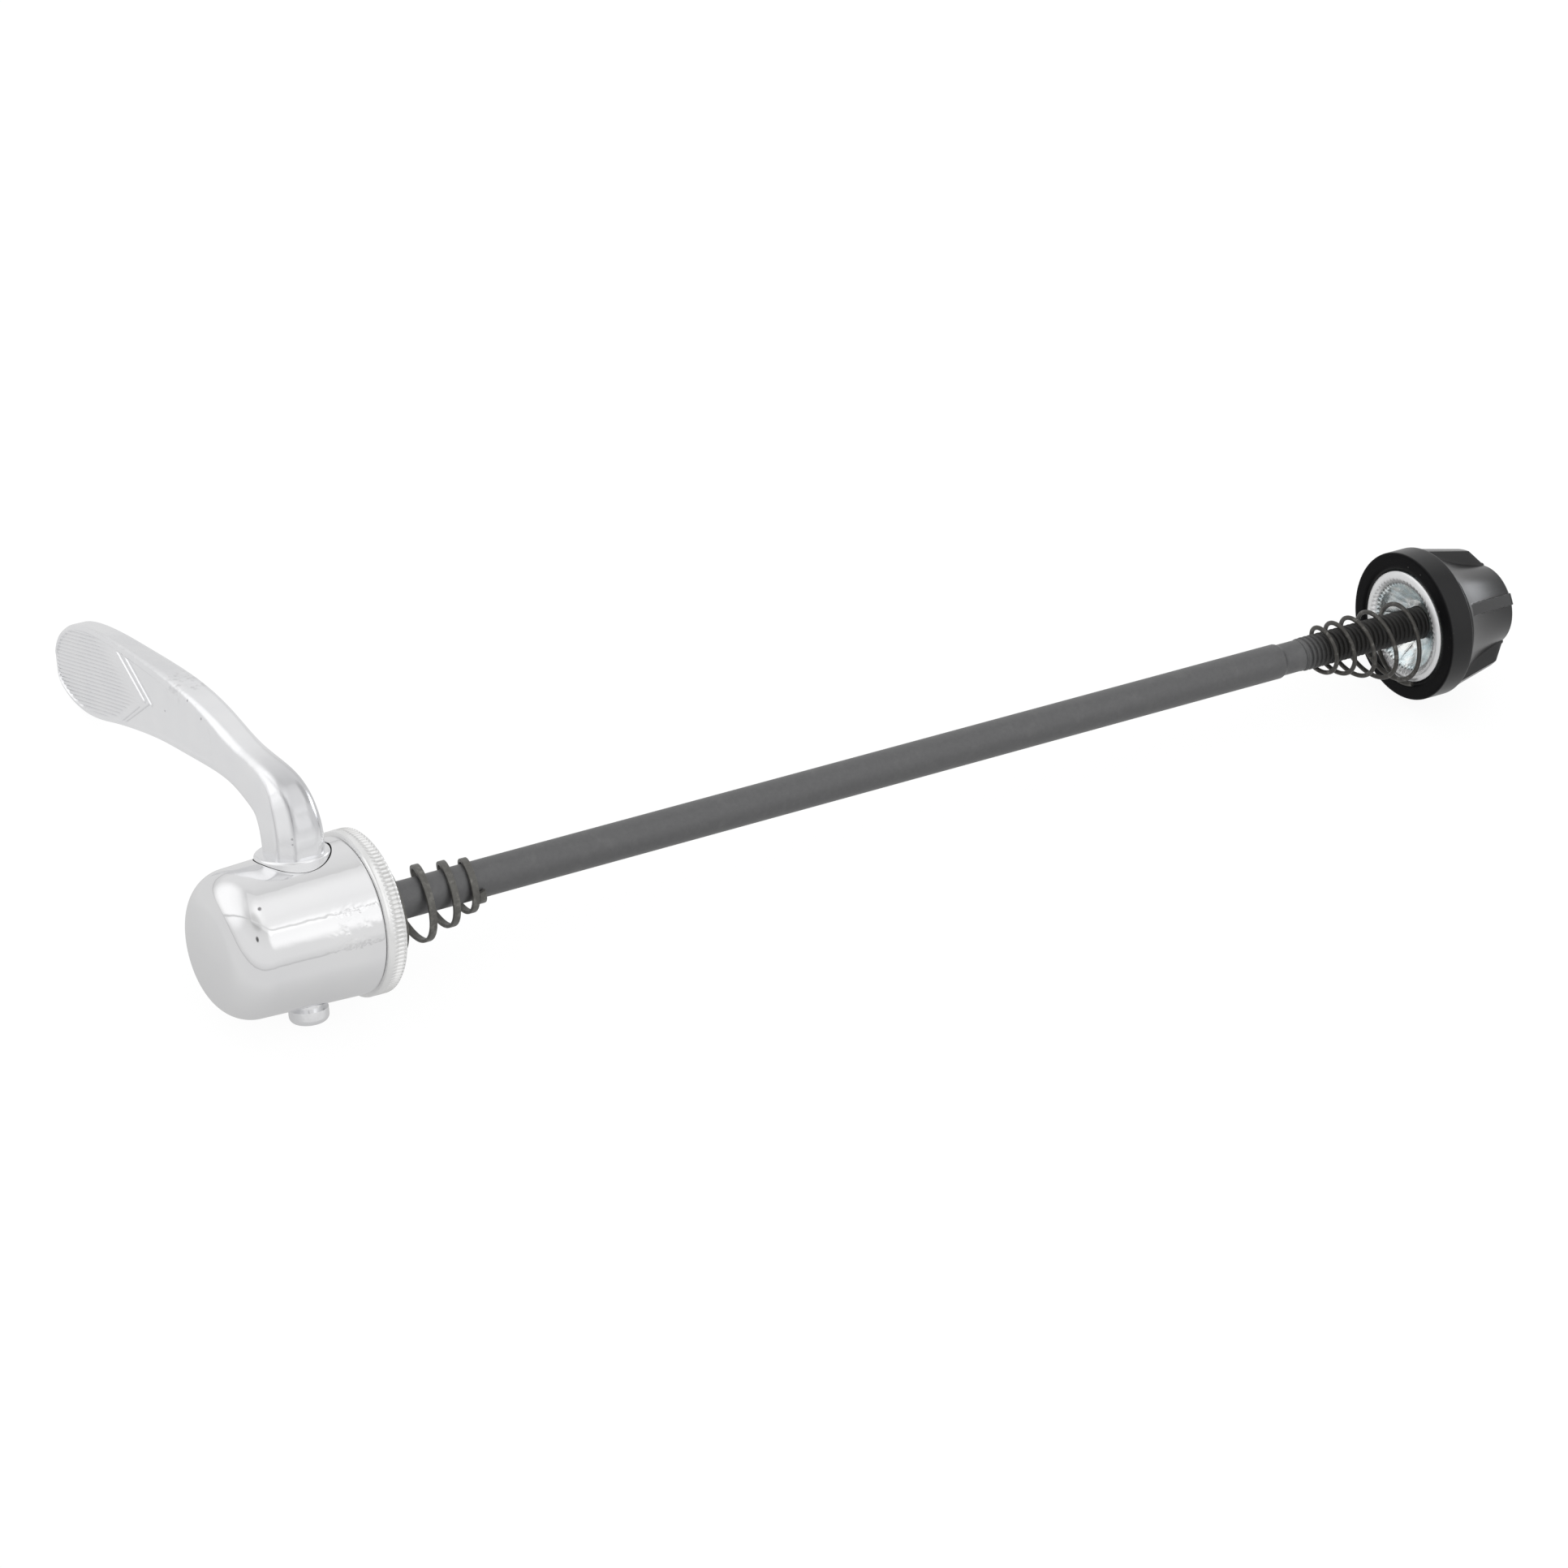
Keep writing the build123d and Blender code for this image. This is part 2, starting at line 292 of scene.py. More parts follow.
# Finishes: noise sizes are in cells to the mm, places and spreads in mm.
def polishedAluminium():  # slow waves, one dark pit, and a rougher skin left from casting near the ring
    pitAt, skinAt = (-18.42, -7.17, 6.57), (-7.0, -10.0, 1.4)
    f = Finish("polished_aluminium", Metallic=1.0)
    pit = f.near(pitAt, 0.12, 0.30)
    tint = f.mix(f.noise(0.16, 2.0), (0.83, 0.83, 0.845), (0.89, 0.89, 0.89))
    f.set("Base Color", f.mix(pit * 0.8, tint, (0.12, 0.11, 0.12)))
    skin = f.near(skinAt, 1.0, 5.5) * f.ramp(f.noise(0.5, 2.0), 0.35, 0.6)
    f.set("Roughness", 0.045 + 0.05 * f.noise(1.6, 4.0) + 0.05 * skin)
    f.bump(f.noise(0.3, 2.0) + skin * f.noise(1.2, 2.0) * 1.8 - pit * 3.0, 0.03)
    return f.material


def castAluminium():  # satin metal with specks, a few pits, grime on the upper edge, and painted shade from the mesh
    pits = [(-11.4, -4.05, 13.2), (-11.4, -4.05, 12.5), (-11.65, 28.3, 23.0), (-11.7, 21.1, 26.0),
            (-11.8, 17.3, 24.4)]
    grimeAt = (-9.2, 25.0, 27.4)
    f = Finish("cast_aluminium", Metallic=1.0)
    specks = f.ramp(f.noise(1.7, 3.0, 0.6), 0.73, 0.80) * 0.7
    for pit in pits:
        specks = specks + f.near(pit, 0.10, 0.24)
    grime = f.near(grimeAt, 1.5, 4.5) * f.ramp(f.noise(0.8, 4.0, 0.65), 0.48, 0.66)
    tint = f.mix(f.noise(0.25, 3.0), (0.88, 0.885, 0.905), (0.95, 0.95, 0.955))
    tint = f.mix(specks * 0.6, tint, (0.30, 0.30, 0.31))
    tint = f.mix(grime * 0.35, tint, (0.45, 0.45, 0.46))
    # painted shade from the mesh: in the face's grooves, beside the chevron, in the creases and round the
    # bend
    f.set("Base Color", f.mix(f.marks() * 0.18, tint, (0.40, 0.40, 0.42)))
    f.set("Roughness", 0.15 + 0.10 * f.noise(0.9, 3.0) + 0.2 * specks)
    f.bump(f.noise(2.6, 4.0, 0.6) * 0.25 + f.noise(0.4, 2.0) * 2.0 - specks, 0.03)
    return f.material


def platedSteel():  # bright plating, with painted shade between the flutes
    f = Finish("plated_steel", Metallic=1.0)
    tint = f.mix(f.noise(0.9, 3.0), (0.91, 0.91, 0.905), (0.97, 0.97, 0.965))
    # painted shade between the flutes, from the mesh
    f.set("Base Color", f.mix(f.marks() * 0.42, tint, (0.42, 0.41, 0.40)))
    f.set("Roughness", 0.20 + 0.10 * f.noise(2.0, 3.0))
    f.bump(f.noise(4.0, 3.0), 0.008)
    return f.material


def darkSteel():  # mottled and rubbed shank, nearly black where the thread holds oil
    oilFrom = (150.8, 157.0)
    f = Finish("dark_steel")
    oily = f.ramp(f.alongRod(), *oilFrom)
    mottle = f.noise(1.5, 5.0, 0.65)
    rubbed = f.ramp(f.noise(0.35, 4.0, 0.7), 0.5, 0.75)
    plain = f.mix(mottle, (0.125, 0.126, 0.128), (0.175, 0.176, 0.178))
    plain = f.mix(rubbed * 0.35, plain, (0.21, 0.21, 0.21))
    oiled = f.mix(mottle, (0.010, 0.0095, 0.009), (0.024, 0.023, 0.021))
    f.set("Base Color", f.mix(oily, plain, oiled))
    f.set("Metallic", 0.55 - 0.45 * oily)
    f.set("Roughness", 0.36 + 0.12 * mottle)
    f.bump(f.noise(5.0, 3.0), 0.012)
    return f.material


def springSteel():  # scuffed dark steel, darker on the spring beside the nut
    nutFrom = (80.0, 90.0)
    f = Finish("spring_steel", Metallic=0.6)
    scuff = f.ramp(f.noise(0.8, 4.0, 0.65), 0.50, 0.72)
    grain = f.noise(2.0, 3.0)
    leverSide = f.mix(grain, (0.11, 0.108, 0.10), (0.18, 0.177, 0.165))
    nutSide = f.mix(grain, (0.055, 0.052, 0.048), (0.10, 0.096, 0.088))
    tint = f.mix(f.ramp(f.alongRod(), *nutFrom), leverSide, nutSide)
    f.set("Base Color", f.mix(scuff * 0.55, tint, (0.34, 0.335, 0.31)))
    f.set("Roughness", 0.36 + 0.14 * f.noise(3.0, 3.0))
    f.bump(f.noise(6.0, 2.0), 0.012)
    return f.material


def zincSteel():  # white rim and a bluish, streaked and shinier dish
    dishFrom = (171.25, 171.6)
    f = Finish("zinc_steel")
    dish = f.ramp(f.alongRod(), *dishFrom)
    streaks = f.mix(f.ramp(f.noise(0.55, 3.0), 0.35, 0.65), (0.76, 0.86, 0.89), (0.97, 0.985, 0.97))
    f.set("Base Color", f.mix(dish, (0.98, 0.985, 0.99), streaks))
    f.set("Metallic", 0.55 + 0.35 * dish)
    f.set("Roughness", 0.30 - 0.12 * dish + 0.08 * f.noise(1.5, 4.0))
    f.bump(f.noise(1.3, 3.0), 0.04)
    return f.material


def blackPlastic():  # black with small nicks, dull on the clamping face and glossier towards the grip
    nicks = [(171.10, -4.34, 8.60), (171.10, -1.68, 9.22), (171.10, -8.19, 3.90)]
    flangeFrom, gripFrom = (171.15, 171.5), (174.9, 175.6)
    f = Finish("black_plastic", Specular_IOR_Level=0.06, Coat_Roughness=0.28)
    x = f.alongRod()
    wear = f.ramp(f.noise(3.2, 2.0), 0.74, 0.80)
    for nick in nicks:
        wear = wear + f.near(nick, 0.05, 0.16)
    tint = f.mix(f.noise(0.8, 3.0), (0.0045, 0.0045, 0.005), (0.008, 0.008, 0.009))
    f.set("Base Color", f.mix(wear * 0.5, tint, (0.2, 0.2, 0.19)))
    f.set("Roughness", 0.40 + 0.10 * f.noise(1.8, 3.0))
    f.set("Coat Weight", f.ramp(x, *flangeFrom) * 0.65 + f.ramp(x, *gripFrom) * 0.35)
    f.bump(f.noise(9.0, 2.0), 0.006)
    return f.material


finishes = {
    "polished": polishedAluminium(),
    "cast": castAluminium(),
    "plated": platedSteel(),
    "rod": darkSteel(),
    "spring": springSteel(),
    "zinc": zincSteel(),
    "plastic": blackPlastic(),
}
print("finishes made:", len(finishes))


# Cam housing: dome, rounded corner, tapered barrel and cavity in one profile, and two bores cut through.
housing = {
    "length": 23.0, "domeR": 45.0, "cornerR": 4.8, "backR": 9.6, "frontR": 10.35, "frontX": -2.8,
    "frontRound": 0.3, "spigotX": -1.2, "spigotR": 9.19, "cavityR": 6.79, "cavityX": -16.72,
    "cavityPoleR": 0.02, "domeStart": 179.96, "steps": 300, "tries": 4000,
    "pivotX": -9.6, "journalBoreR": 5.0, "pinBoreR": 1.95, "boreEnd": 22, "boreSteps": 160,
}


def housingProfile(h):
    # dome circle about (domeX, 0); the corner's circle touches it from inside and lies its own radius below
    # the taper line, its centre being the nearest of many tries along that line
    domeX = h["domeR"] - h["length"]
    endX = domeX - math.sqrt(h["domeR"] ** 2 - h["backR"] ** 2)
    slope = (h["frontR"] - h["backR"]) / (h["frontX"] - endX)
    n = np.array([slope, -1]) / math.hypot(slope, 1)
    xs = np.linspace(endX, h["frontX"], h["tries"])
    centres = np.stack([xs, h["backR"] + slope * (xs - endX)], -1) + h["cornerR"] * n
    off = np.hypot(centres[:, 0] - domeX, centres[:, 1]) - (h["domeR"] - h["cornerR"])
    c = centres[np.argmin(abs(off))]
    domeEnd = math.degrees(math.atan2(c[1], c[0] - domeX))
    taperStart = math.degrees(math.atan2(-n[1], -n[0]))
    touch = c - h["cornerR"] * n
    r = h["frontRound"]
    return np.concatenate([
        arc(domeX, 0, h["domeR"], h["domeStart"], domeEnd, 36)[:-1],
        arc(c[0], c[1], h["cornerR"], domeEnd, taperStart, 34)[:-1],
        line(touch, (h["frontX"] - r, h["frontR"] - slope * r), 60),
        arc(h["frontX"] - r, h["frontR"] - r, r, 90, 0, 6),
        [(h["frontX"], h["spigotR"]), (h["spigotX"], h["spigotR"]), (h["spigotX"], h["cavityR"])],
        [(h["cavityX"], h["cavityR"]), (h["cavityX"], h["cavityPoleR"])],
    ])


def cutBores(piece, h):
    # each bore is a capped cylinder taken away by an exact Boolean, whose result becomes the piece's mesh
    for z0, z1, radius in [(0, h["boreEnd"], h["journalBoreR"]), (-h["boreEnd"], 0, h["pinBoreR"])]:
        verts, quads, fans = shell(upright([(z0, radius), (z1, radius)], h["pivotX"], h["boreSteps"]))
        mesh = bpy.data.meshes.new("bore")
        mesh.from_pydata(toRow(verts), [], quads.tolist() + fans.tolist())
        cutter = bpy.data.objects.new("bore", mesh)
        bpy.context.scene.collection.objects.link(cutter)
        cut = piece.modifiers.new("bore", "BOOLEAN")
        cut.operation, cut.solver, cut.object = "DIFFERENCE", "EXACT", cutter
        made = bpy.data.meshes.new_from_object(piece.evaluated_get(bpy.context.evaluated_depsgraph_get()))
        piece.modifiers.clear()
        piece.data = made
        bpy.data.objects.remove(cutter)
    piece.data.polygons.foreach_set("use_smooth", np.ones(len(piece.data.polygons), bool))
    piece.data.set_sharp_from_angle(angle=math.radians(sharpDeg))


cap = makePiece("housing_cap", [shell(turned(housingProfile(housing), housing["steps"]))],
                "housing", "cam_housing", finishes["polished"])
cutBores(cap, housing)


# Serrated ring: profile turned about the rod, flutes rolled into its rim and radial teeth cut into its face.
ring = {
    "width": 2.8, "outR": 10.88, "edge": 0.35, "spigotR": 9.19, "landR": 8.2, "landStep": 0.3, "holeR": 2.55,
    "webX": -1.2, "rimFrom": 0.1, "rimShare": 0.9,
    "flutes": 112, "perFlute": 8, "fluteDepth": 0.27, "fluteIn": (-2.2, -1.2), "fluteOut": (-0.6, -0.2),
    "fluteNarrow": 1.05, "shadeFrom": (0.45, 0.95),
    "groove": 0.05, "grooveIn": (-2.68, -2.5), "grooveOut": (-2.3, -1.9),
    "teeth": 56, "toothDepth": 0.3, "toothFade": 0.8,
}


def ringShell(p):
    # radius = profile - depth * (run along x - square of the place across the flute), so each flute is a
    # pointed lens, - a shallow groove beside the flutes; on the clamping face x = -depth * tooth wave
    e = p["edge"]
    profile = np.concatenate([
        line((-p["width"], p["spigotR"]), (-p["width"], p["outR"] - e / 2), 3),
        line((-p["width"], p["outR"] - e / 2), (-p["width"] + e / 2, p["outR"]), 2),
        line((-p["width"] + e / 2, p["outR"]), (-e, p["outR"]), 26),
        line((-e, p["outR"]), (0, p["outR"] - e), 4),
        line((0, p["outR"] - e), (0, p["landR"]), 5),
        [(0, p["landR"]), (-p["landStep"], p["landR"]), (-p["landStep"], p["holeR"]),
         (p["webX"], p["holeR"]), (p["webX"], p["spigotR"])],
    ])
    a = around(p["flutes"] * p["perFlute"])[None]
    x, r = profile[:, :1] + 0 * a, profile[:, 1:] + 0 * a
    outer = (r > p["outR"] - p["rimShare"] * e) & (x > -p["width"] + p["rimFrom"])
    across = sawtooth(p["flutes"], a)
    run = step(*p["fluteIn"], x) * (1 - step(*p["fluteOut"], x))
    flute = np.maximum(run - (p["fluteNarrow"] * across) ** 2, 0) * p["fluteDepth"]
    groove = p["groove"] * step(*p["grooveIn"], x) * (1 - step(*p["grooveOut"], x))
    r = r - np.where(outer, flute + groove, 0)
    face = (abs(x) < tiny) & (r > p["landR"] - tiny)
    tooth = abs(sawtooth(p["teeth"], a))
    x = x - np.where(face, p["toothDepth"] * tooth * step(p["outR"], p["outR"] - p["toothFade"], r), 0)
    # painted shade on each flute's sides, towards the next flute
    marks = np.where(outer, step(*p["shadeFrom"], abs(across)) * run, 0)
    return shell(spun(x, r, a), loopRows=True), marks


rimShell, rimShade = ringShell(ring)
makePiece("serrated_rim", [rimShell], "housing", "serrated_ring", finishes["plated"],
          sharp=30, marks=rimShade)


# Lever: rounded-rectangle sections carried along a splined line; its face has fine ridges and a chevron.
lever = {
    "x": -9.6,
    # y, z, direction in degrees from y, half width, half thickness, corner share of the half thickness
    "stations": [
        (-0.45, 9.9, 90.0, 3.75, 3.4, 0.74),
        (-0.45, 13.2, 88.0, 4.0, 3.4, 0.76),
        (1.2, 16.3, 57.0, 4.13, 3.0, 0.78),
        (5.3, 18.2, 28.0, 3.65, 2.6, 0.78),
        (10.6, 19.7, 17.0, 3.25, 2.4, 0.74),
        (16.5, 21.2, 15.5, 3.85, 2.28, 0.62),
        (22.5, 22.3, 10.5, 4.45, 2.22, 0.5),
        (30.0, 23.1, 4.5, 4.88, 2.08, 0.44),
        (38.0, 23.4, 1.0, 5.42, 1.82, 0.4),
        (46.0, 23.4, -1.0, 6.1, 1.6, 0.4),
        (51.5, 23.15, -2.5, 6.35, 1.5, 0.4),
        (54.2, 23.05, -2.0, 6.15, 1.48, 0.4),
        (56.4, 22.95, -2.0, 5.69, 1.46, 0.4),
        (58.3, 22.8, -1.5, 4.96, 1.44, 0.4),
        (59.9, 22.7, -1.0, 4.05, 1.41, 0.4),
        (61.0, 22.55, 0.0, 3.1, 1.36, 0.42),
        (61.8, 22.45, 0.0, 2.05, 1.25, 0.44),
        (62.235, 22.5, 0.0, 1.2, 1.05, 0.48),
        (62.365, 22.55, 0.0, 0.05, 0.85, 0.5),
    ],
    # points on the front face, in a corner, on an edge and on the back
    "sectionPoints": (132, 21, 10, 30),
    "tip": (61.0, 23.4), "tipRound": 0.5, "tipHalfW": 0.02, "cornerMost": 0.98,
    "neckRows": 90, "paddleRows": 245, "paddleFrom": 31.0,
    "ridgePitch": 0.535, "ridgeDepth": 0.15, "ridgeLean": 0.08, "ridgeFrom": (0.8, 5.0),
    "ridgeFromLow": (0.7, 1.4),
    "chevron": [((43.3, 29.46), (34.4, 22.98)), ((40.6, 29.09), (32.28, 22.93))],
    "chevronLow": [((33.2, 22.75), (42.6, 17.9)), ((36.43, 21.72), (44.0, 17.6))],
    # painted shade beside the chevron's upper lines and along its lower lines, with a cap on the painted
    # shade
    "chevronHeight": 0.24, "chevronWidth": 0.17, "besideShade": 1.2, "besideAt": 1.6, "besideWidth": 0.5,
    "lineDepth": 0.10, "lineWidth": 0.11, "lineShade": 1.6, "shadeMost": 2,
    "panelCentre": (20.0, 21.3), "panelR": 5.0, "panelDepth": 0.18, "panelEdge": 0.5,
    "reliefEdge": 0.3, "reliefTip": 0.3, "reliefFade": 0.4,
    "facetSpread": 27.0, "facetTop": 18.8, "facetFull": 15.2, "facetMost": 60,
    # painted shade along the creases beside the neck's flat
    "creaseShade": 2.2, "creaseWidth": 4, "creaseFrom": (4.0, 12.0),
    # a painted darker reflection round the bend's outer side
    "bendShade": 2.6, "bendShadeFrom": (12.6, 14.2), "bendShadeTo": (16.9, 19.5), "bendShadeBack": (0.0, 0.6),
    "bendShadeFront": (0.85, 1.0),
    "journalR": 4.88, "journalTop": 10.3, "journalEdge": 0.4, "camR": 3.4, "camThrow": 1.3, "camHalf": 2.55,
    "pinR": 1.9, "headR": 2.6, "headTop": -10.7, "headEnd": -12.6, "headRound": 0.9,
    "journalSteps": 160, "pinSteps": 96,
}


def sectionTemplate(front, corner, edge, back):
    # unit rounded rectangle from the top of the front face down and round: slide factors sp, sq and
    # corner turns cp, cq
    def straight(n, p0, p1, q0, q1, cp, cq):
        t = np.linspace(0, 1, n, endpoint=False)
        return np.stack([p0 + (p1 - p0) * t, q0 + (q1 - q0) * t, cp + 0 * t, cq + 0 * t])

    def turn(sp, sq, c0, c1):
        a = np.linspace(0, np.pi / 2, corner, endpoint=False)
        c = np.outer(c0, np.cos(a)) + np.outer(c1, np.sin(a))
        return np.stack([sp + 0 * a, sq + 0 * a, c[0], c[1]])

    return np.concatenate([
        straight(front, 1, -1, -1, -1, 0, -1), turn(-1, -1, (0, -1), (-1, 0)),
        straight(edge, -1, -1, -1, 1, -1, 0), turn(-1, 1, (-1, 0), (0, 1)),
        straight(back, -1, 1, 1, 1, 0, 1), turn(1, 1, (0, 1), (1, 0)),
        straight(edge, 1, 1, 1, -1, 1, 0), turn(1, -1, (1, 0), (0, -1)),
    ], axis=1)


def toSegment(y, z, ends):  # distance from points y, z to a straight segment
    (y0, z0), (y1, z1) = ends
    dy, dz = y1 - y0, z1 - z0
    t = np.clip(((y - y0) * dy + (z - z0) * dz) / (dy * dy + dz * dz), 0, 1)
    return np.hypot(y - y0 - t * dy, z - z0 - t * dz)


def sideOf(y, z, ends, tip):  # signed distance from the line through a segment, positive towards the tip
    (y0, z0), (y1, z1) = ends
    dy, dz = y1 - y0, z1 - z0
    s = ((y - y0) * dz - (z - z0) * dy) / math.hypot(dy, dz)
    return s if ((tip[0] - y0) * dz - (tip[1] - z0) * dy) > 0 else -s


def faceRelief(y, z, p):
    # depth into the face: ridges leaning along the arm and faded towards the chevron, whose upper lines stand
    # up and lower lines are cut in, and the sunk panel; the second value is painted shade in grooves, beside
    # and along the chevron's lines
    a = z + p["ridgeLean"] * y
    fromTop = sideOf(y, z, p["chevron"][0], p["tip"])
    fromLow = sideOf(y, z, p["chevronLow"][1], p["tip"])
    ridged = step(*p["ridgeFrom"], fromTop) * step(*p["ridgeFromLow"], fromLow)
    groove = ridged * (0.5 - 0.5 * np.cos(2 * np.pi * a / p["ridgePitch"]))
    depth = p["ridgeDepth"] * groove
    for ends in p["chevron"]:
        gap = toSegment(y, z, ends) / p["chevronWidth"]
        depth = depth - p["chevronHeight"] * np.exp(-gap**2)
        groove = groove + p["besideShade"] * np.exp(-((gap - p["besideAt"]) / p["besideWidth"]) ** 2)
    for ends in p["chevronLow"]:
        cut = np.exp(-(toSegment(y, z, ends) / p["lineWidth"]) ** 2)
        depth = depth + p["lineDepth"] * cut
        groove = groove + p["lineShade"] * cut
    cy, cz = p["panelCentre"]
    inside = p["panelR"] - np.hypot(np.minimum(y - cy, 0), np.where(y < cy, z - cz, 0))
    return depth + p["panelDepth"] * step(0.0, p["panelEdge"], inside), np.clip(groove, 0, p["shadeMost"])


def leverArm(p):
    # section half width w and half thickness t with corner r: (sp (w - r) + cp r, sq (t - r) + cq r) across
    # the spline; knots are spaced by line and width together, so the tip closes as a round; low on the neck
    # the outer corner has a flat, whose spread from the corner's middle grows downwards; the second value is
    # painted shade in the face's grooves, along the creases beside that flat and round the bend's outer side
    knots = np.asarray(p["stations"])
    along = np.concatenate([[0], np.cumsum(np.linalg.norm(np.diff(knots[:, [0, 1, 3]], axis=0), axis=1))])
    split = np.interp(p["paddleFrom"], knots[:, 0][2:], along[2:])
    at = np.concatenate([np.linspace(0, split, p["neckRows"], endpoint=False),
                         np.linspace(split, along[-1], p["paddleRows"])])
    y, z, deg, halfW, halfT, share = smoothCurve(along, knots, at).T
    halfW = np.maximum(halfW, p["tipHalfW"])
    toTip = knots[-1, 0] - y
    u = np.clip(1 - toTip / p["tipRound"], 0, 1)
    halfT = halfT - p["tipRound"] * (1 - np.sqrt(1 - u * u))
    corner = np.minimum(share * halfT, p["cornerMost"] * np.minimum(halfW, halfT))
    sp, sq, cp, cq = sectionTemplate(*p["sectionPoints"])
    aside = abs(np.degrees(np.arctan2(cp, -cq)) - 45)
    spread = p["facetSpread"] * step(p["facetTop"], p["facetFull"], z)[:, None]
    flat = np.cos(np.radians(spread)) / np.cos(np.radians(np.minimum(aside, p["facetMost"])))
    outer = (sp == 1) & (sq == -1)
    turnR = corner[:, None] * np.where((aside < spread) & outer, flat, 1)
    # painted shade along the creases beside the flat
    crease = np.exp(-((aside - spread) / p["creaseWidth"]) ** 2) * step(*p["creaseFrom"], spread) * outer
    # a painted darker reflection round the bend's outer edge and its back corner
    bendShade = step(*p["bendShadeFrom"], z) * (1 - step(*p["bendShadeTo"], z))
    bendShadeSide = (sp == 1) * np.where(cq >= 0, step(*p["bendShadeBack"], cp), step(*p["bendShadeFront"], cp))
    sideShade = p["creaseShade"] * crease + p["bendShade"] * bendShade[:, None] * bendShadeSide
    w = sp * (halfW - corner)[:, None] + cp * turnR
    q = sq * (halfT - corner)[:, None] + cq * turnR
    d = np.radians(deg)[:, None]
    py, pz = y[:, None] - w * np.sin(d), z[:, None] + w * np.cos(d)
    front = (cq == -1) & (sq == -1)
    edge = step(0.0, p["reliefEdge"], (1 - abs(sp)) * (halfW - corner)[:, None])
    edge = edge * step(0.0, p["reliefFade"], toTip - p["reliefTip"])[:, None]
    depth, groove = faceRelief(py, pz, p)
    relief = np.where(front, depth * edge, 0)
    return np.stack([p["x"] + q + relief, py, pz], -1), np.where(front, groove * edge, sideShade)


def leverPivot(p):
    # journal with a rounded top edge, the cam set off to one side, the pin and its spread head
    e, h, c = p["journalEdge"], p["headRound"], p["camHalf"]
    journal = np.concatenate([[(c, poleR), (c, p["journalR"])],
                              arc(p["journalTop"] - e, p["journalR"] - e, e, 90, 0, 7),
                              [(p["journalTop"], poleR)]])
    cam = [(-c, poleR), (-c, p["camR"]), (c, p["camR"]), (c, poleR)]
    head = np.concatenate([[(p["headEnd"], poleR)],
                           arc(p["headEnd"] + h, p["headR"] - h, h, 180, 90, 10),
                           [(p["headTop"], p["headR"]), (p["headTop"], p["pinR"])],
                           [(-c, p["pinR"]), (-c, poleR)]])
    return [shell(upright(journal, p["x"], p["journalSteps"])),
            shell(upright(cam, p["x"] - p["camThrow"], p["pinSteps"])),
            shell(upright(head, p["x"], p["pinSteps"]))]


armGrid, armShade = leverArm(lever)
makePiece("lever_arm", [shell(armGrid), *leverPivot(lever)], "lever", "lever",
          finishes["cast"], sharp=40, marks=armShade)


# Rod: plain shank, short neck and a rolled thread; the eye that the cam pulls is hidden in the housing.
rod = {
    "r": 2.5, "neckX": 148.0, "neckR": 2.25, "neckEnd": 151.3, "endX": 179.0, "chamfer": 0.6, "steps": 72,
    "shankX": -6.15, "neckFrom": 0.8, "neckTo": 0.1,
    # rings of points at the shoulder, and the drop from the shank's radius along it
    "shoulderRings": (-0.2, -0.05, 0.12, 0.35), "shoulderX": (-0.35, -0.2, -0.05, 0.35),
    "shoulderDrop": (0.0, 0.04, 0.12, 0.25),
    "threadR": 2.4, "threadDepth": 0.44, "pitch": 0.8, "perPitch": 10, "runOut": 1.2,
    "waveGain": 1.25, "waveDrop": 0.08,
    "eyeX": -10.9, "eyeHalfX": 5.474, "eyeHalfY": 6.05, "eyeHalf": 2.2, "eyePower": 0.55,
    "slotHalfX": 4.024, "slotHalfY": 5.05, "slotPower": 0.95, "eyeSteps": 96,
}


def rodShell(p):
    # r = crest - depth * wave of (x / pitch - turn), fading in over the run-out and cut by the end chamfer
    threadX = np.arange(p["neckEnd"], p["endX"] + 0.01, p["pitch"] / p["perPitch"])
    shoulder = p["neckX"] + np.array(p["shoulderX"])
    rings = p["neckX"] + np.array(p["shoulderRings"])
    neck = np.linspace(p["neckX"] + p["neckFrom"], p["neckEnd"] - p["neckTo"], 12)
    x = np.concatenate([[p["shankX"]], np.linspace(0, shoulder[0], 60), rings, neck, threadX])
    plain = np.interp(x, shoulder, p["r"] - np.array(p["shoulderDrop"]))
    a = around(p["steps"])[None]
    phase = (x[:, None] - p["neckEnd"]) / p["pitch"] - a / (2 * np.pi)
    wave = np.clip(p["waveGain"] * (0.5 - 0.5 * np.cos(2 * np.pi * phase)) - p["waveDrop"], 0, 1)
    cut = step(p["neckEnd"], p["neckEnd"] + p["runOut"], x)[:, None]
    crest = np.where(x > p["neckEnd"], p["neckR"] + (p["threadR"] - p["neckR"]) * cut[:, 0], plain)[:, None]
    r = crest - p["threadDepth"] * wave * cut
    r = np.minimum(r, p["threadR"] - p["chamfer"] + np.maximum(p["endX"] - x, 0)[:, None])
    return shell(spun(x[:, None] + 0 * a, r, a))


def oblong(halfX, halfY, power, a):  # superellipse: each half size times cosine or sine to a power, sign kept
    c, s = np.cos(a), np.sin(a)
    return np.stack([halfX * np.sign(c) * abs(c) ** power, halfY * np.sign(s) * abs(s) ** power], -1)


def eyeShell(p):
    # superellipse rings between the slot and the eye's outline, carried through the eye's thickness
    a = around(p["eyeSteps"])
    outer = oblong(p["eyeHalfX"], p["eyeHalfY"], p["eyePower"], a)
    inner = oblong(p["slotHalfX"], p["slotHalfY"], p["slotPower"], a)
    flat = np.stack([outer, outer, inner, inner])
    z = p["eyeHalf"] * np.array([-1, 1, 1, -1])[:, None] + 0 * a
    return shell(np.stack([p["eyeX"] + flat[..., 0], flat[..., 1], z], -1), loopRows=True)


makePiece("threaded_rod", [rodShell(rod), eyeShell(rod)], "rod", "skewer_rod", finishes["rod"],
          sharp=60)


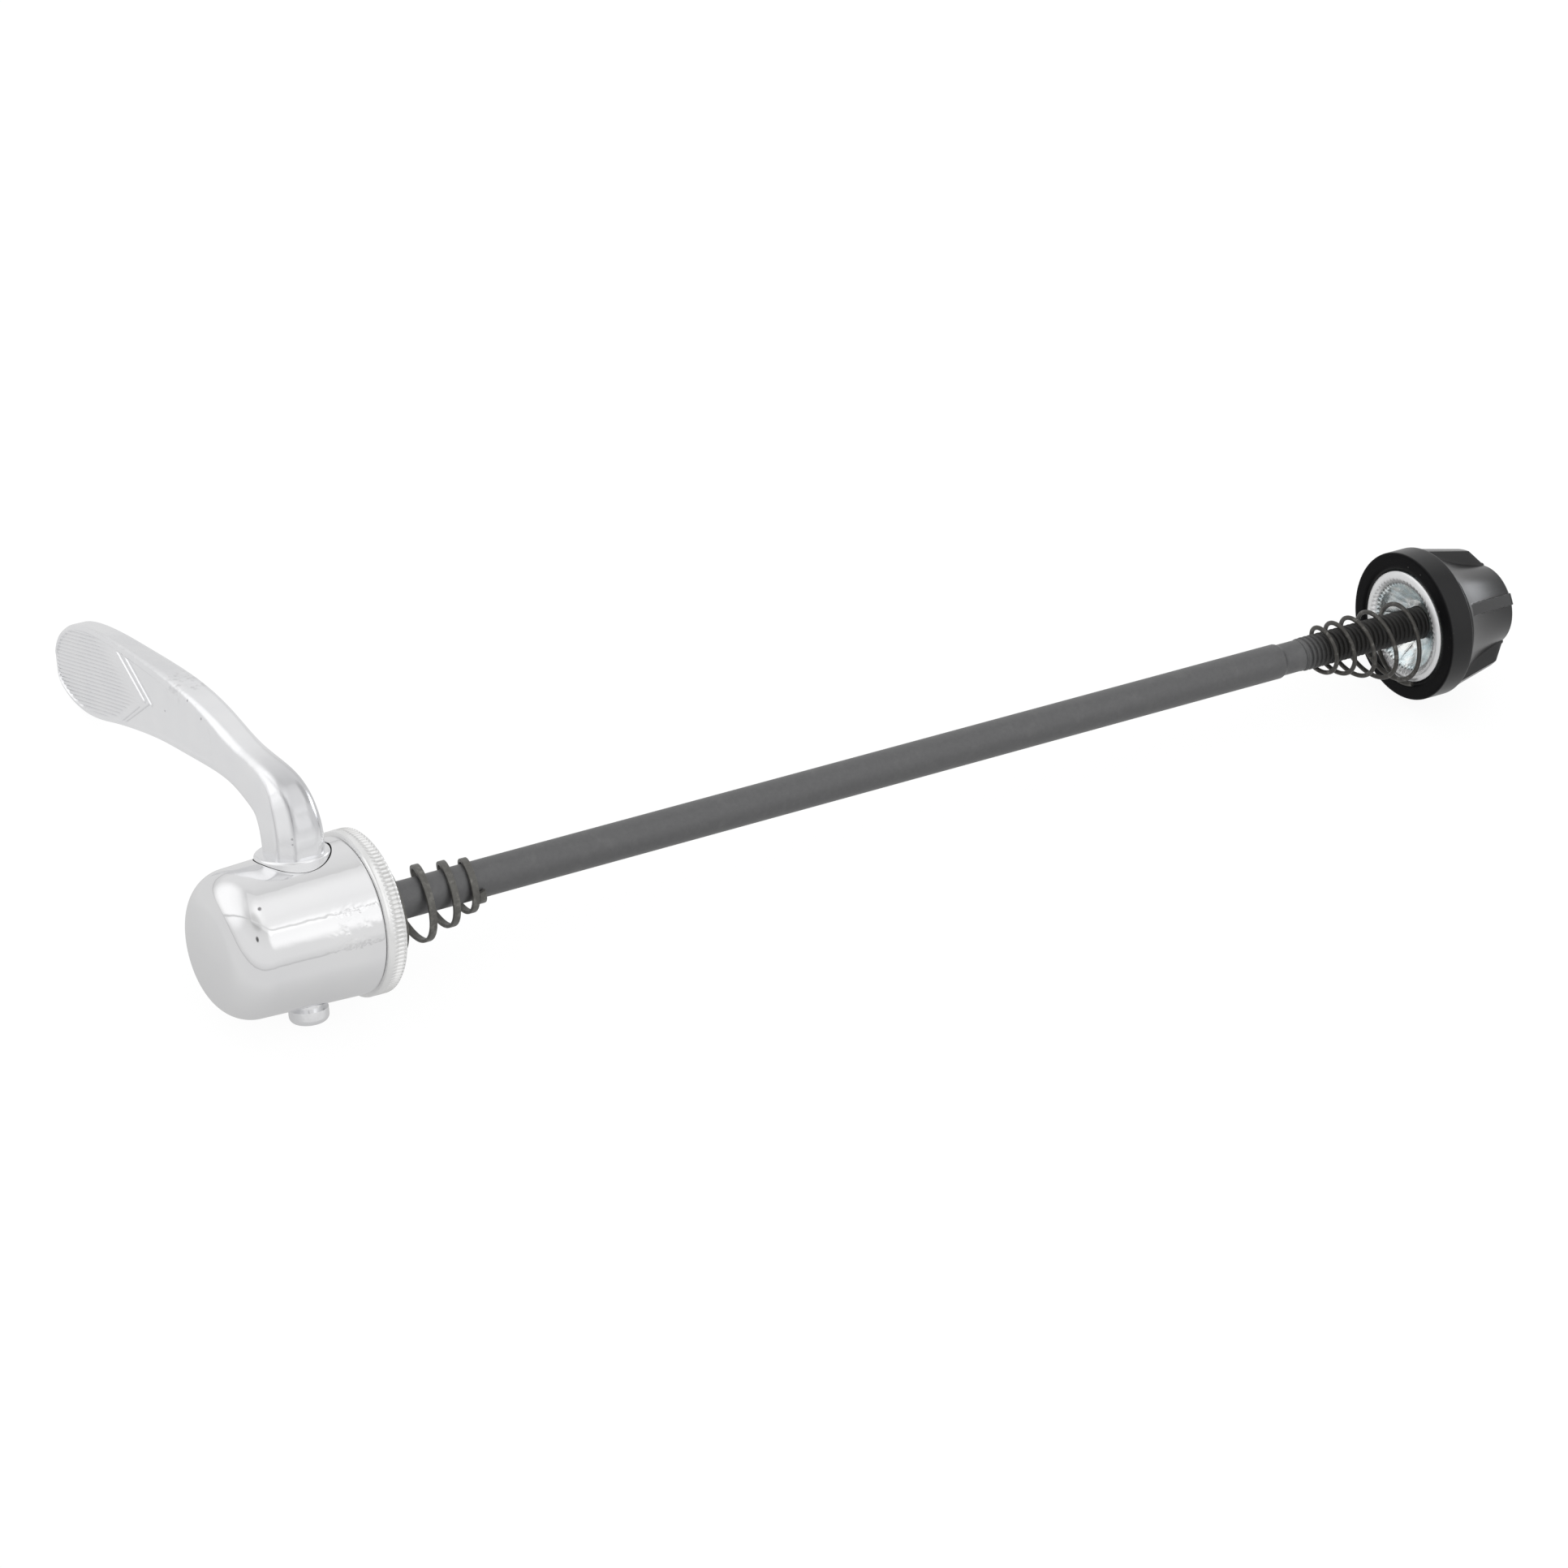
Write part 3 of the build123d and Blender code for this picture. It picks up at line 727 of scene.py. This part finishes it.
# Springs: the wire's section carried along a cone-shaped helix that hangs to one side of the rod.
coilStart = 70  # degrees from z at turn 0
strip = {
    "w": 1.0, "t": 0.45, "start": -1.4, "rise": -0.9, "end": 3.91, "pitch": 5.3, "pitchLoss": 0.354,
    "settle": 0.5, "settleRate": 3, "bigR": 5.68, "bigSag": 2.35, "rLoss": 0.728, "sagLoss": 0.55,
    "coneFrom": 0.05, "smallR": 3.12, "innerR": 2.56, "seat": -0.3, "hang": -41.0,
    "leanY": 0.148, "leanZ": -0.181, "leanIn": (0.0, 0.9),
    "close": 2.2, "closeFrom": 3.15, "rows": 360, "sides": 28, "squareness": 0.28,
}
wire = {
    "d": 0.66, "start": -0.55, "end": 4.74, "freeLen": 14.4, "pitch": 2.63, "pitchGain": 0.16,
    "bigR": 6.32, "bigSag": 2.37, "smallR": 3.64, "smallSag": 0.2, "seat": 170.95, "hang": 13.0,
    "leanZ": -0.26, "leanOut": (3.3, 4.4), "rows": 420, "sides": 14,
}


def helix(s, x, outR, sag, thick, hang, leanY, leanZ):
    # angle = start - one turn per s; centre line at outR - thick / 2, its turns leaning in x, moved down by
    # the sag at the hang's angle; also the directions across the wire and outwards from it
    a = np.radians(coilStart - 360 * s)
    r = outR - thick / 2
    y, z, h = -r * np.sin(a), r * np.cos(a), math.radians(hang)
    path = np.stack([x + leanY * y + leanZ * z, y - sag * math.sin(h), z - sag * math.cos(h)], -1)
    ahead = np.gradient(path, axis=0)
    ahead /= np.linalg.norm(ahead, axis=1, keepdims=True)
    out = np.stack([0 * a, -np.sin(a), np.cos(a)], -1)
    out -= ahead * np.einsum("ij,ij->i", out, ahead)[:, None]
    out /= np.linalg.norm(out, axis=1, keepdims=True)
    return path, np.cross(ahead, out), out


def stripSpring(p):
    # x = seat + pitch * rise - loss * rise squared - a settling first turn - the square of the closing tail;
    # radius and sag shrink evenly along the cone, and the sag leaves the rod free
    s = np.linspace(p["start"], p["end"], p["rows"])
    rise = np.maximum(s - p["rise"], 0)
    settle = p["settle"] * (1 - np.exp(-p["settleRate"] * rise))
    x = p["w"] / 2 + p["seat"] + p["pitch"] * rise - p["pitchLoss"] * rise**2 - settle
    x = x - p["close"] * np.maximum(s - p["closeFrom"], 0) ** 2
    u = np.maximum(s - p["coneFrom"], 0)
    outR = np.maximum(p["bigR"] - p["rLoss"] * u, p["smallR"])
    sag = np.minimum(p["bigSag"] - p["sagLoss"] * u, outR - p["t"] - p["innerR"])
    lean = step(*p["leanIn"], rise)
    path, across, out = helix(s, x, outR, sag, p["t"], p["hang"], p["leanY"] * lean, p["leanZ"] * lean)
    section = oblong(p["w"] / 2, p["t"] / 2, p["squareness"], around(p["sides"]))
    return shell(alongPath(path, across, out, section))


def wireSpring(p):
    # x = small end + pitch * s + gain * s squared, up to the seat; radius and sag grow evenly to the seat
    s = np.linspace(p["start"], p["end"], p["rows"])
    seat = p["seat"] - p["d"] / 2
    x = np.minimum(seat - p["freeLen"] + p["pitch"] * s + p["pitchGain"] * s**2, seat)
    u = np.maximum(s / p["end"], 0)
    outR = p["smallR"] + (p["bigR"] - p["smallR"]) * u
    sag = p["smallSag"] + (p["bigSag"] - p["smallSag"]) * u
    lean = 1 - step(*p["leanOut"], s)
    path, across, out = helix(s, x, outR, sag, p["d"], p["hang"], 0.0, p["leanZ"] * lean)
    circle = oblong(p["d"] / 2, p["d"] / 2, 1, around(p["sides"]))
    return shell(alongPath(path, across, out, circle))


makePiece("strip_spring", [stripSpring(strip)], "housing", "lever_spring", finishes["spring"],
          sharp=50)
makePiece("wire_spring", [wireSpring(wire)], "nut_carriage", "nut_spring", finishes["spring"],
          sharp=60)


# Nut insert: dished cup turned about the rod, its inner lip toothed and its dish pressed into soft petals.
insert = {
    "faceX": 170.95, "outR": 8.15, "rimR": 6.3, "rimStep": 0.45, "depth": 2.6, "dish": 3.1, "dishR": 3.3,
    "crown": 0.24, "crownIn": 0.2, "crownOut": 0.1, "hubR": 5.2, "length": 8.9, "boreR": 2.45,
    "teeth": 58, "perTooth": 10, "toothDepth": 0.22, "toothTo": 0.2, "lipIn": (-0.3, 0.1),
    "lipOut": (0.5, 1.0), "petals": 9, "petalDepth": 0.14, "petalPower": 0.6, "bowlEdge": 0.6,
}


def insertShell(p):
    # the rim's crown is x = crown * t squared across it; x = profile + tooth depth * tooth wave near the lip,
    # + petal depth * petal wave over the dish
    x0, crownR = p["faceX"], p["rimR"] + p["crownIn"]
    t = np.linspace(-1, 1, 15)
    profile = np.concatenate([
        [(x0 + p["length"], p["boreR"]), (x0 + p["dish"], p["boreR"])],
        line((x0 + p["dish"], p["dishR"]), (x0 + p["rimStep"], p["rimR"]), 16),
        line((x0 + p["rimStep"], p["rimR"]), (x0 + p["crown"], crownR), 4),
        np.stack([x0 + p["crown"] * t**2, crownR + (p["outR"] - p["crownOut"] - crownR) * (t + 1) / 2], -1),
        [(x0 + p["crown"] + p["crownOut"], p["outR"]), (x0 + p["depth"], p["outR"]),
         (x0 + p["depth"], p["hubR"]), (x0 + p["length"], p["hubR"])],
    ])
    a = around(p["teeth"] * p["perTooth"])[None]
    x, r = profile[:, :1] + 0 * a, profile[:, 1:] + 0 * a
    front = x < x0 + p["dish"] - tiny
    tooth = abs(sawtooth(p["teeth"], a))
    (in0, in1), (out0, out1) = p["lipIn"], p["lipOut"]
    lip = step(p["rimR"] + in0, p["rimR"] + in1, r) * (1 - step(p["rimR"] + out0, p["rimR"] + out1, r))
    x = x + np.where(front & (r < p["outR"] - p["toothTo"]), p["toothDepth"] * tooth * lip, 0)
    petal = abs(np.sin(p["petals"] * a / 2)) ** p["petalPower"]
    edge = p["bowlEdge"]
    bowl = step(p["dishR"], p["dishR"] + edge, r) * (1 - step(p["rimR"] - edge, p["rimR"], r))
    x = x + np.where(front, p["petalDepth"] * petal * bowl, 0)
    return shell(spun(x, r, a), loopRows=True)


makePiece("nut_cup", [insertShell(insert)], "nut", "nut_insert", finishes["zinc"], sharp=40)


# Nut body: flange, two finger hollows with a rib in each and two wings, as one radius over x and turn.
nut = {
    "faceX": 171.1, "flangeR": 10.88, "edge": 0.35, "flangeW": 4.1, "length": 15.1,
    "lipBreak": 0.6, "lipX": 0.12, "lipIn": 0.1, "lipOut": 0.05,
    "seatR": 8.15, "cupX": 173.55, "hubR": 5.2, "hubX": 179.85, "holeR": 2.8, "holeEdge": 0.25,
    "wingHalf": 25.0, "wingAt": -19.0, "wingRoot": 10.6, "wingTip": 8.95, "wingTipX": 12.1, "wingEnd": 6.15,
    "fingerShift": 0.9, "fingerRise": 9.9, "fingerMid": 7.7, "fingerMidX": 8.6, "fingerEnd": 5.85,
    "ribW": 1.75, "ribRoot": 10.6, "ribEnd": 7.0, "ribSoft": (-0.06, 0.10), "ribReach": 1.2, "ribOff": 4,
    "wingMid": 9.0, "soft": 0.3, "rootIn": 0.6, "rootLen": 1.2,
    "endRound": 0.45, "endFrom": 12, "rearFrom": 0.15, "rearRows": 9, "steps": 720,
}


def fingerRadius(x, p):  # the circle through the three points of the hollow's profile, as a radius at x
    pts = [(p["faceX"] + p["flangeW"], p["fingerRise"]), (p["faceX"] + p["fingerMidX"], p["fingerMid"]),
           (p["faceX"] + p["length"], p["fingerEnd"])]
    system = np.array([[2 * a, 2 * b, 1] for a, b in pts])
    cx, cr, k = np.linalg.solve(system, np.array([a * a + b * b for a, b in pts]))
    size = math.sqrt(k + cx * cx + cr * cr)
    return cr - np.sqrt(size**2 - (x - cx) ** 2)


def turnFrom(a, deg, half):  # angle from a direction or the one opposite it, between -pi and pi
    return (a - math.radians(deg) - half + np.pi) % (2 * np.pi) - np.pi


def nutRadius(x, a, p):
    # largest of the two hollows about their shifted axes, raised with soft sides to the rib's flat crest and,
    # within its sector, to the wing's cone
    hollow = fingerRadius(x, p)
    root, end = p["faceX"] + p["flangeW"], p["faceX"] + p["length"]
    ribTop = p["ribRoot"] + (p["ribEnd"] - p["ribRoot"]) * (x - root) / (end - root)
    wingX = [root, p["faceX"] + p["wingTipX"], end]
    wingTop = np.interp(x, wingX, [p["wingRoot"], p["wingTip"], p["wingEnd"]])
    base = np.zeros(np.broadcast(x, a).shape)
    for half in (0, np.pi):
        d = turnFrom(a, p["wingAt"] + 90, half)
        radius = p["fingerShift"] * np.cos(d) + np.sqrt(hollow**2 - (p["fingerShift"] * np.sin(d)) ** 2)
        base = np.maximum(base, radius)
    total = base
    for half in (0, np.pi):
        d = turnFrom(a, p["wingAt"] + 90, half)
        ribR = ribTop / np.maximum(np.cos(d), 0.5)
        aside = abs(base * np.sin(np.clip(d, -p["ribReach"], p["ribReach"])))
        beside = p["ribW"] / 2 - aside - p["ribOff"] * (abs(d) > p["ribReach"])
        total = total + np.maximum(ribR - base, 0) * step(*p["ribSoft"], beside)
        beside = (math.radians(p["wingHalf"]) - abs(turnFrom(a, p["wingAt"], half))) * p["wingMid"]
        total = total + np.maximum(wingTop - base, 0) * step(-p["soft"] / 2, p["soft"] / 2, beside)
    return total


def nutShell(p):
    # closed loop of rings: rear hole, hub pocket, cup seat, lip, clamping face and flange as a profile, then
    # the grip by nutRadius, its rounded end and the flat rear back to the hole
    face, root, end, e = p["faceX"], p["faceX"] + p["flangeW"], p["faceX"] + p["length"], p["edge"]
    lipR = p["seatR"] + p["lipBreak"]
    gripEnd = end - p["endRound"]
    a = around(p["steps"])[None]
    flat = np.concatenate([
        [(gripEnd, p["holeR"]), (p["hubX"], p["holeR"]), (p["hubX"], p["hubR"]), (p["cupX"], p["hubR"]),
         (p["cupX"], p["seatR"]), (face + p["lipBreak"], p["seatR"])],
        line((face + p["lipX"], lipR - p["lipIn"]), (face, lipR + p["lipOut"]), 2),
        line((face, lipR + p["lipOut"]), (face, p["flangeR"] - e), 4),
        arc(face + e, p["flangeR"] - e, e, 180, 90, 7),
        line((face + e + 0.1, p["flangeR"]), (root - e, p["flangeR"]), 8),
        arc(root - e, p["flangeR"] - e, e, 90, 20, 6),
    ])
    grip = np.concatenate([np.linspace(root, root + p["rootLen"], 10, endpoint=False),
                           np.linspace(root + p["rootLen"], gripEnd, 64)])[:, None]
    gripR = np.minimum(nutRadius(grip, a, p), p["flangeR"] - p["rootIn"] * e)
    lastR = gripR[-1:]
    turn = np.radians(np.linspace(p["endFrom"], 90, 8))[:, None]
    inner = np.linspace(p["rearFrom"], 1, p["rearRows"])[:, None]
    x = np.concatenate([flat[:, :1] + 0 * a, grip + 0 * a, end - p["endRound"] * (1 - np.sin(turn)) + 0 * a,
                        np.full((p["rearRows"], p["steps"]), end)])
    r = np.concatenate([flat[:, 1:] + 0 * a, gripR, lastR - p["endRound"] * (1 - np.cos(turn)),
                        (lastR - p["endRound"]) * (1 - inner) + (p["holeR"] + p["holeEdge"]) * inner])
    return shell(spun(x, r, a), loopRows=True)


makePiece("nut_grip", [nutShell(nut)], "nut", "nut_body", finishes["plastic"], sharp=40)
print("pieces made")


# Stage: a pale floor under the pin's head and the nut, soft boxes above and beside, and the photo's camera.
stage = {
    # name, brightness, size, place and colour of each box
    "boxes": [
        ("top_box", 0.12, 1.3, (0.25, -0.10, 1.2), (1.0, 1.0, 1.0)),
        ("right_box", 2.6, 0.34, (1.08, 0.14, 0.10), (0.93, 0.96, 1.0)),
    ],
    "boxAim": (0.07, 0.02, 0),
    # grey of the wall by height, from straight down at 0 to straight up at 1
    "skyGrey": [(0.0, 0.75), (0.494, 0.73), (0.50, 0.58), (0.508, 0.58), (0.525, 0.72), (0.60, 0.82),
                (0.75, 0.83), (0.88, 0.78), (0.945, 0.68), (0.985, 0.74), (1.0, 0.84)],
    # soft patches of the wall: compass and height degrees, inner and outer spread, grey added to patchGrey
    "patches": [(136.0, 34.0, 20.0, 43.0, 0.30), (-58.0, 40.0, 7.0, 19.0, 0.30),
                (-24.0, 68.0, 10.0, 32.0, 0.17), (-130.0, 70.0, 6.0, 18.0, -0.18),
                (10.0, 36.0, 8.0, 24.0, -0.24)],
    "patchGrey": 0.8, "barTurn": -30.0, "barHeight": 70.0, "barWidth": (0.010, 0.034), "barGrey": 0.66,
    "lensSpot": (0.9962, 0.9985), "lensGrey": 0.12,
    "floorHalf": 6.0, "floorGrey": 0.12, "floorGlow": 0.92, "floorSheen": 0.65,
    "shade": 0.24, "shadeReach": 0.05, "nutRest": 2,
    "lens": 119.258, "sensor": 36.0, "eye": (-287.6093, -558.4073, 214.1973),
    "right": (0.831674, -0.55074, -0.07073), "up": (0.22584, 0.219139, 0.949197),
}


def makeFloor(p):
    # plane through the lowest point, taken at the pivot, and the nut's rim: z = low + slope * (x - pivot);
    # the camera sees its glow, and glossy rays see it with a painted shade under the housing
    low, pivot = cadBox[0].z, housing["pivotX"] / perMetre
    slope = (-nut["flangeR"] / perMetre - low) / ((nut["faceX"] + p["nutRest"]) / perMetre - pivot)
    h = p["floorHalf"]
    corners = np.array([(-h, -h), (h, -h), (h, h), (-h, h)])
    mesh = bpy.data.meshes.new("floor")
    mesh.from_pydata(np.column_stack([corners, low + slope * (corners[:, 0] - pivot)]), [], [(0, 1, 2, 3)])
    floor = bpy.data.objects.new("floor", mesh)
    bpy.context.scene.collection.objects.link(floor)
    paint = bpy.data.materials.new("pale_floor")
    paint.use_nodes = True
    tree = paint.node_tree
    tree.nodes.clear()
    values = {0: addNode(tree, "ShaderNodeTexCoord", out="Object"), 1: (pivot, 0.0, low)}
    gap = addNode(tree, "ShaderNodeVectorMath", {"operation": "DISTANCE"}, values, out="Value")
    clear = smoothRange(tree, gap, 0.0, p["shadeReach"])
    seen = addNode(tree, "ShaderNodeLightPath", out="Is Camera Ray") * p["floorGlow"]
    sheen = p["floorSheen"] * (1 - p["shade"]) + clear * (p["floorSheen"] * p["shade"])
    seen = seen + addNode(tree, "ShaderNodeLightPath", out="Is Glossy Ray") * sheen
    matt = addNode(tree, "ShaderNodeBsdfDiffuse", {}, {"Color": (p["floorGrey"],) * 3})
    glow = addNode(tree, "ShaderNodeEmission", {}, {"Color": (1.0, 1.0, 1.0), "Strength": seen})
    both = addNode(tree, "ShaderNodeAddShader", {}, {0: matt, 1: glow})
    addNode(tree, "ShaderNodeOutputMaterial", {}, {"Surface": both}, out=None)
    mesh.materials.append(paint)


def compass(turn, height):  # the direction at a compass turn from x and a height above the floor, in degrees
    t, h = math.radians(turn), math.radians(height)
    return np.array([math.cos(h) * math.cos(t), math.cos(h) * math.sin(t), math.sin(h)])


def makeWorld(p):
    # grey that follows height, thinly dark along the horizon; soft patches that lighten or darken it; a dark
    # bar along the great circle through its foot and its highest point; the dark lens that the polished
    # corner mirrors; plain white to the camera
    world = bpy.data.worlds.new("studio")
    bpy.context.scene.world = world
    world.use_nodes = True
    tree = world.node_tree
    tree.nodes.clear()
    aim = addNode(tree, "ShaderNodeTexCoord", out="Generated")

    def towards(direction):  # cosine of the angle from a direction
        values = {0: aim, 1: tuple(float(v) for v in direction)}
        return addNode(tree, "ShaderNodeVectorMath", {"operation": "DOT_PRODUCT"}, values, out="Value")

    def grey(share, under, over):  # under at share 0, a plain grey at share 1
        values = {0: share, 6: under, 7: (over,) * 3}
        return addNode(tree, "ShaderNodeMix", {"data_type": "RGBA"}, values, out=2)

    stops = [(place, (tone, tone, tone)) for place, tone in p["skyGrey"]]
    tone = addNode(tree, "ShaderNodeValToRGB", {"stops": stops}, {0: towards((0, 0, 1)) * 0.5 + 0.5})
    lit = 1.0
    for turn, height, inner, outer, more in p["patches"]:
        edges = math.cos(math.radians(outer)), math.cos(math.radians(inner))
        lit = lit + smoothRange(tree, towards(compass(turn, height)), *edges) * (more / p["patchGrey"])
    tone = addNode(tree, "ShaderNodeVectorMath", {"operation": "SCALE"}, {0: tone, "Scale": lit})
    across = np.cross(compass(p["barTurn"], 0), compass(p["barTurn"] - 90, p["barHeight"]))
    off = addNode(tree, "ShaderNodeMath", {"operation": "ABSOLUTE"}, {0: towards(across)})
    core, rim = p["barWidth"]
    tone = grey(smoothRange(tree, off, rim, core), tone, p["barGrey"])
    eye = toRow(p["eye"])
    tone = grey(smoothRange(tree, towards(eye / np.linalg.norm(eye)), *p["lensSpot"]), tone, p["lensGrey"])
    seen = addNode(tree, "ShaderNodeLightPath", out="Is Camera Ray")
    glow = addNode(tree, "ShaderNodeBackground", {}, {"Color": grey(seen, tone, 1.0), "Strength": 1.0})
    addNode(tree, "ShaderNodeOutputWorld", {}, {"Surface": glow}, out=None)


def softBox(aim, name, glow, size, place, colour):
    # square lamp aimed at a point, its power = pi * area * the brightness that a mirror would show
    lamp = bpy.data.lights.new(name, "AREA")
    lamp.energy, lamp.size, lamp.color = math.pi * size * size * glow, size, colour
    box = bpy.data.objects.new(name, lamp)
    bpy.context.scene.collection.objects.link(box)
    box.location = place
    box.rotation_mode = "QUATERNION"
    box.rotation_quaternion = (Vector(aim) - Vector(place)).to_track_quat("-Z", "Y")


def makeCamera(p):
    # the camera's right, up and back directions and its place, as the columns of its matrix
    right, up = toRow(p["right"]) * perMetre, toRow(p["up"]) * perMetre
    columns = np.stack([right, up, np.cross(right, up), toRow(p["eye"])], -1)
    data = bpy.data.cameras.new("camera")
    data.lens, data.sensor_width = p["lens"], p["sensor"]
    camera = bpy.data.objects.new("camera", data)
    bpy.context.scene.collection.objects.link(camera)
    camera.matrix_world = Matrix([*columns.tolist(), [0, 0, 0, 1]])
    bpy.context.scene.camera = camera


makeFloor(stage)
makeWorld(stage)
for box in stage["boxes"]:
    softBox(stage["boxAim"], *box)
makeCamera(stage)
bpy.context.scene.view_settings.view_transform = "Standard"
print("stage set")
